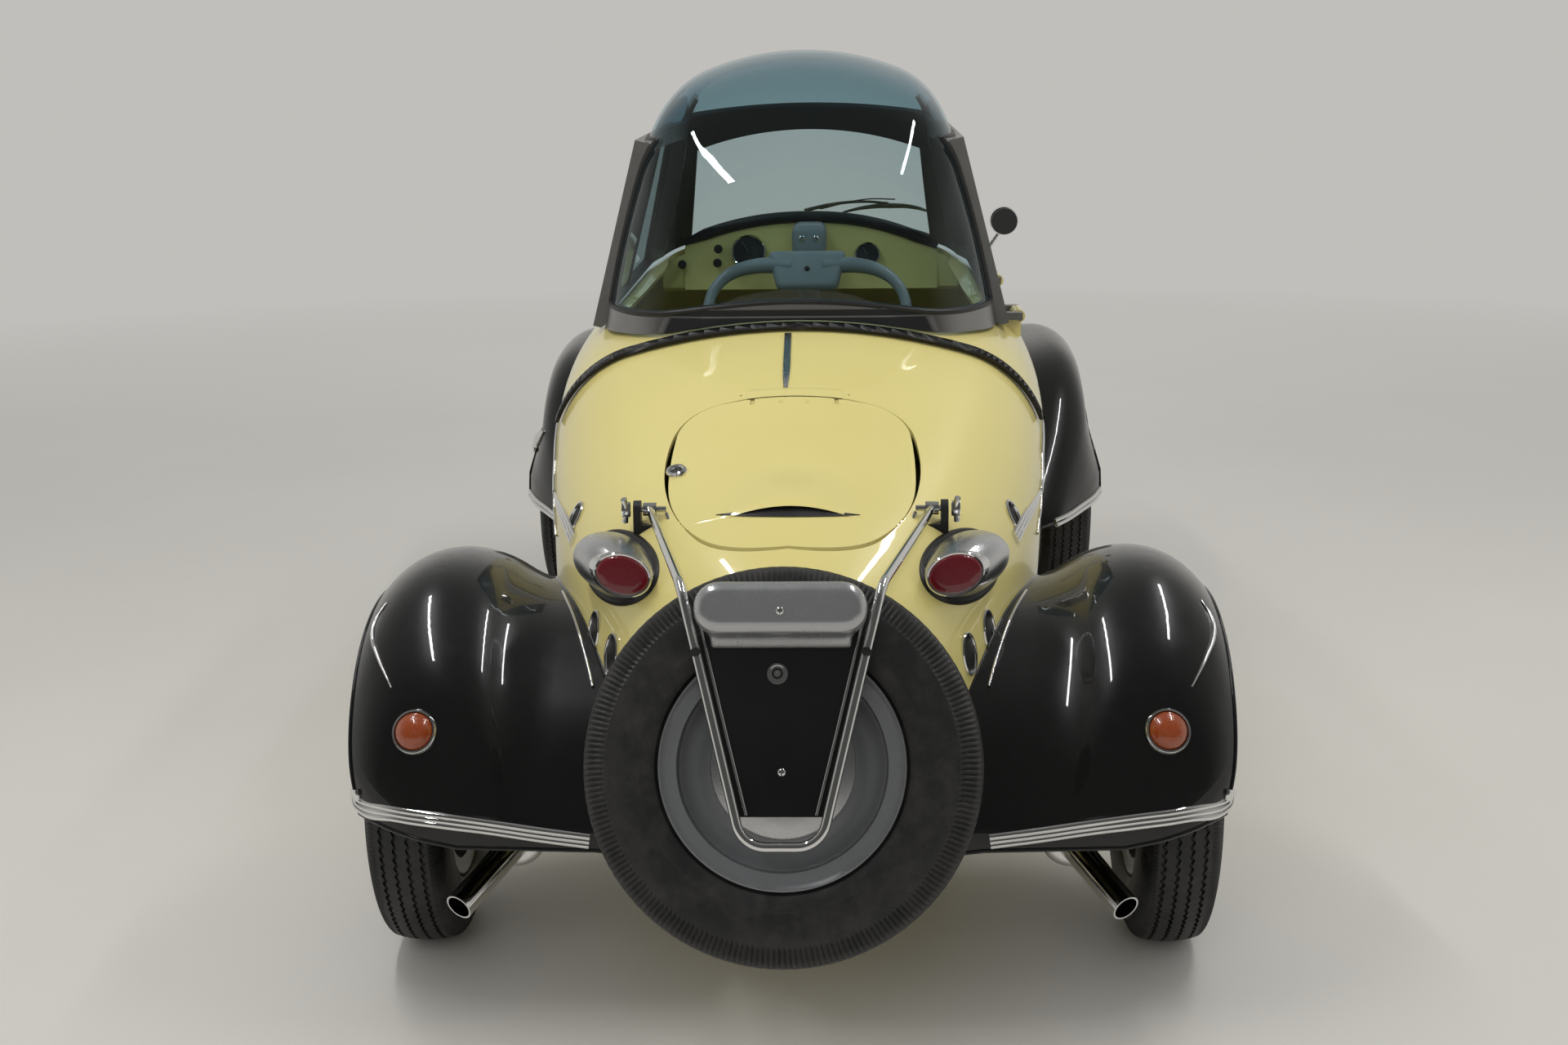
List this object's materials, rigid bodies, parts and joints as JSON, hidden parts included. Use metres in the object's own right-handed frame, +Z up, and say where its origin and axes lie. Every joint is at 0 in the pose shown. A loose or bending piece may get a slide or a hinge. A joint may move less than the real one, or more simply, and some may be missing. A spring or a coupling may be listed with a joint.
{
  "type": "bubble car",
  "caption": "Small four-wheeled bubble car with a side-hinged clear canopy over two seats in line, separate black fenders and a spare wheel on its tail.",
  "frame": {"origin": "on the ground under the middle of the car's outline", "axes": "+Z up, the nose points to -Y, +X is the car's left side"},
  "size_m": [1.2428, 2.9545, 1.2355],
  "materials": {
    "body_paint": "gloss cream-yellow enamel",
    "fender_paint": "gloss black enamel",
    "seal_rubber": "matt black rubber",
    "frame_aluminium": "brushed",
    "dome_glass": "smoke-tinted clear acrylic",
    "screen_glass": "clear",
    "chrome": "bright",
    "tyre": "worn satin",
    "rim_paint": "satin silver-grey",
    "steering_grey": "satin grey",
    "trim_fabric": "dark cloth-backed vinyl",
    "black_steel": "satin black",
    "cast_metal": "sand cast",
    "plate_black": "gloss black, blank",
    "lamp_grey": "silver-grey",
    "lamp_chrome": "bright",
    "lens_red": "dark red",
    "amber_lens": "amber",
    "exhaust_steel": "chromed tip, dull can"
  },
  "bodies": {
    "body": {"tub": "body_paint", "tail_cover": "body_paint", "body_seal": "seal_rubber", "dash": "body_paint", "steering_column": "steering_grey", "seat_frame": "black_steel", "front_seat_cushion": "trim_fabric", "front_seat_back": "trim_fabric", "rear_seat_cushion": "trim_fabric", "rear_seat_back": "trim_fabric", "engine_block": "cast_metal", "front_arms": "black_steel", "rear_axle": "black_steel", "exhaust": "exhaust_steel", "headlamps": "lamp_chrome", "tail_lamps": "lens_red", "turn_lamps": "amber_lens", "spare_bracket": "black_steel", "spare_tyre": "tyre", "spare_rim": "rim_paint", "guard_brackets": "chrome", "front_fender_left": "fender_paint", "front_fender_right": "fender_paint", "rear_fender_left": "fender_paint", "rear_fender_right": "fender_paint"},
    "canopy": {"canopy_frame": "frame_aluminium", "canopy_dome": "dome_glass", "windscreen": "screen_glass", "side_windows": "screen_glass", "wiper": "black_steel", "mirror": "chrome"},
    "hatch": {"tail_hatch": "body_paint"},
    "guard": {"guard_frame": "chrome", "guard_plate": "plate_black", "lamp_cover": "lamp_grey"},
    "yoke": {"steering_yoke": "steering_grey"},
    "knuckle_left": {"knuckle_left": "black_steel"},
    "knuckle_right": {"knuckle_right": "black_steel"},
    "wheel_front_left": {"tyre_front_left": "tyre", "rim_front_left": "rim_paint"},
    "wheel_front_right": {"tyre_front_right": "tyre", "rim_front_right": "rim_paint"},
    "wheel_rear_left": {"tyre_rear_left": "tyre", "rim_rear_left": "rim_paint"},
    "wheel_rear_right": {"tyre_rear_right": "tyre", "rim_rear_right": "rim_paint"}
  },
  "joints": [
    {"name": "steering_turn", "type": "hinge", "parent": "body", "child": "yoke", "pos_m": [0, -0.268, 0.838], "axis": [0, 0.9135, 0.4067], "range_deg": [-40, 40]},
    {"name": "steer_left", "type": "hinge", "parent": "body", "child": "knuckle_left", "pos_m": [0.485, -1.02, 0.237], "axis": [0, 0, 1], "range_deg": [-26, 26]},
    {"name": "steer_right", "type": "hinge", "parent": "body", "child": "knuckle_right", "pos_m": [-0.485, -1.02, 0.237], "axis": [0, 0, 1], "range_deg": [-26, 26]},
    {"name": "canopy_open", "type": "hinge", "parent": "body", "child": "canopy", "pos_m": [-0.362, 0, 0.8], "axis": [0, -1, 0], "range_deg": [0, 75]},
    {"name": "hatch_open", "type": "hinge", "parent": "body", "child": "hatch", "pos_m": [0, 0.69, 0.748], "axis": [1, 0, 0], "range_deg": [0, 55]},
    {"name": "guard_swing", "type": "hinge", "parent": "body", "child": "guard", "pos_m": [0, 0.952, 0.641], "axis": [1, 0, 0], "range_deg": [0, 65]},
    {"name": "wheel_front_left_roll", "type": "hinge", "parent": "knuckle_left", "child": "wheel_front_left", "pos_m": [0.555, -1.02, 0.237], "axis": [1, 0, 0], "continuous": true},
    {"name": "wheel_front_right_roll", "type": "hinge", "parent": "knuckle_right", "child": "wheel_front_right", "pos_m": [-0.555, -1.02, 0.237], "axis": [1, 0, 0], "continuous": true},
    {"name": "wheel_rear_left_roll", "type": "hinge", "parent": "body", "child": "wheel_rear_left", "pos_m": [0.52, 0.87, 0.237], "axis": [1, 0, 0], "continuous": true},
    {"name": "wheel_rear_right_roll", "type": "hinge", "parent": "body", "child": "wheel_rear_right", "pos_m": [-0.52, 0.87, 0.237], "axis": [1, 0, 0], "continuous": true}
  ],
  "couplings": [
    {"joint": "steer_left", "follows": "steering_turn", "ratio": 0.625},
    {"joint": "steer_right", "follows": "steering_turn", "ratio": 0.625}
  ]
}
